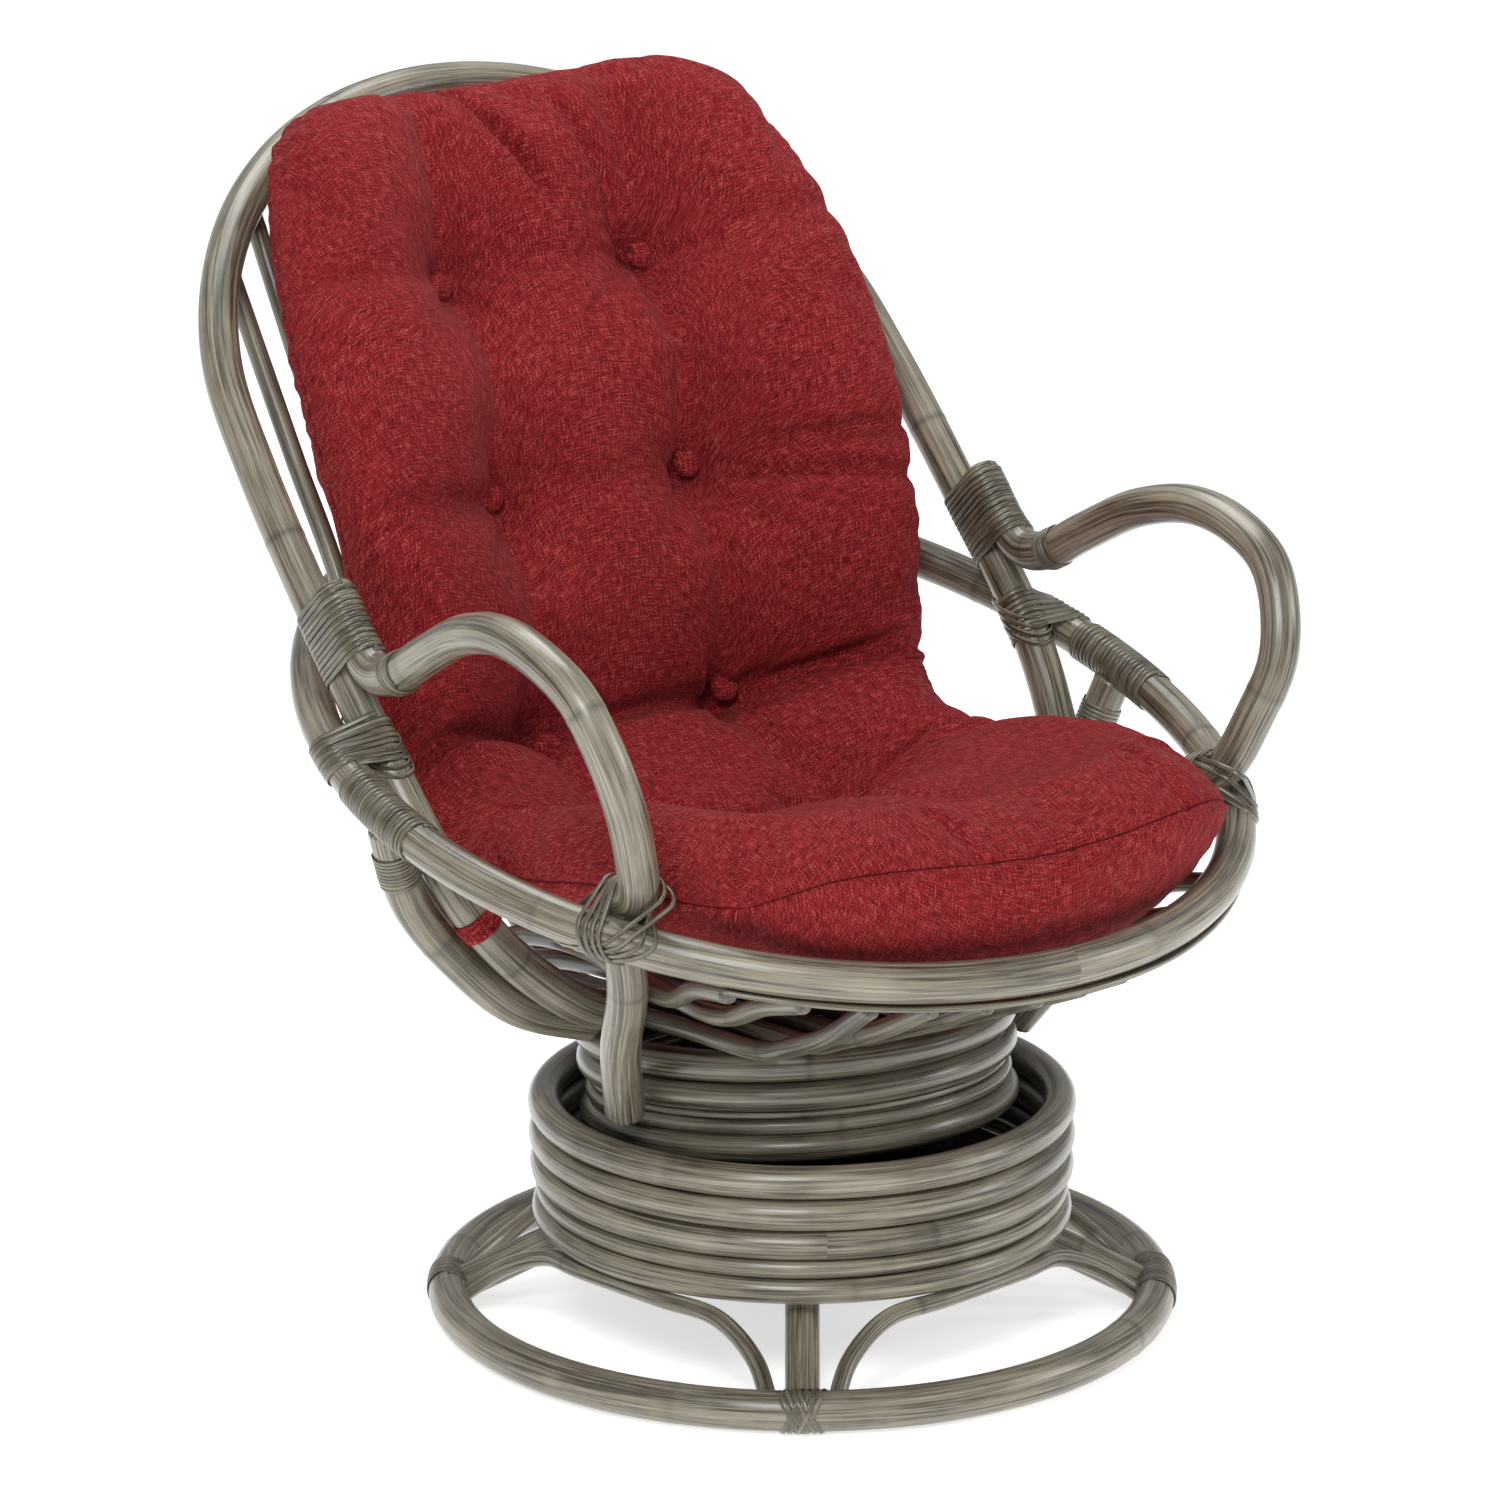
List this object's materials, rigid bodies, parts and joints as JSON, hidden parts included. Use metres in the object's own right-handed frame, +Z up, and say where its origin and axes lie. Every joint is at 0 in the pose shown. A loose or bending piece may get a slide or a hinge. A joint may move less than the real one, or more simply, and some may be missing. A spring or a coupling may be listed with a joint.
{
  "type": "papasan chair",
  "caption": "Swivel rocker lounge chair of bent poles: ring and drum base, tilted seat hoop, arched back, looped arms, and a long tufted cushion over seat and back.",
  "frame": {"origin": "on the floor, under the centre of the part's box", "axes": "+Z up, -Y the way the sitter faces, +X to the right for someone who stands in front and looks at the chair; the seat mirrors in X = 0"},
  "size_m": [0.8, 0.958, 0.9784],
  "materials": {
    "rattan": "satin",
    "peel": "satin",
    "board": "matte",
    "steel": "satin",
    "cloth": "matte"
  },
  "bodies": {
    "base": {"floor_ring": "rattan", "drum_ring_1": "rattan", "drum_ring_2": "rattan", "drum_ring_3": "rattan", "drum_ring_4": "rattan", "drum_ring_5": "rattan", "post_front": "rattan", "post_right": "rattan", "post_rear": "rattan", "post_left": "rattan", "brace_front": "rattan", "brace_right": "rattan", "brace_rear": "rattan", "brace_left": "rattan", "foot_binding_front": "peel", "foot_binding_right": "peel", "foot_binding_rear": "peel", "foot_binding_left": "peel", "drum_board": "board", "swivel_base_plate": "steel"},
    "swivel": {"turntable": "steel", "spring_front_left": "steel", "spring_front_right": "steel", "spring_rear_left": "steel", "spring_rear_right": "steel"},
    "seat": {"rocker_plate": "steel", "seat_board": "board", "pedestal_ring_low": "rattan", "pedestal_cord_thick": "rattan", "pedestal_cord_thin": "rattan", "pedestal_ring_high": "rattan", "pedestal_ring_top": "rattan", "seat_hoop": "rattan", "back_hoop": "rattan", "side_bow_right": "rattan", "side_bow_left": "rattan", "arm_right": "rattan", "arm_left": "rattan", "rib_batten": "rattan", "rib_right_1": "rattan", "rib_right_2": "rattan", "rib_right_3": "rattan", "rib_right_4": "rattan", "rib_right_5": "rattan", "rib_right_6": "rattan", "rib_left_1": "rattan", "rib_left_2": "rattan", "rib_left_3": "rattan", "rib_left_4": "rattan", "rib_left_5": "rattan", "rib_left_6": "rattan", "cushion": "cloth", "hoop_binding_right": "peel", "hoop_binding_left": "peel", "rim_binding_right": "peel", "rim_binding_left": "peel", "bow_binding_right": "peel", "bow_binding_left": "peel", "arm_lashing_right": "peel", "arm_lashing_left": "peel"}
  },
  "joints": [
    {"name": "swivel", "type": "hinge", "parent": "base", "child": "swivel", "pos_m": [0, -0.10121, 0.122], "axis": [0, 0, 1], "continuous": true},
    {"name": "rock", "type": "hinge", "parent": "swivel", "child": "seat", "pos_m": [0, -0.10121, 0.15], "axis": [-1, 0, 0], "range_deg": [-8, 9], "stiffness_Nm_per_rad": 420, "springref_deg": -3.33, "deforming": ["spring_front_left", "spring_front_right", "spring_rear_left", "spring_rear_right"]}
  ]
}
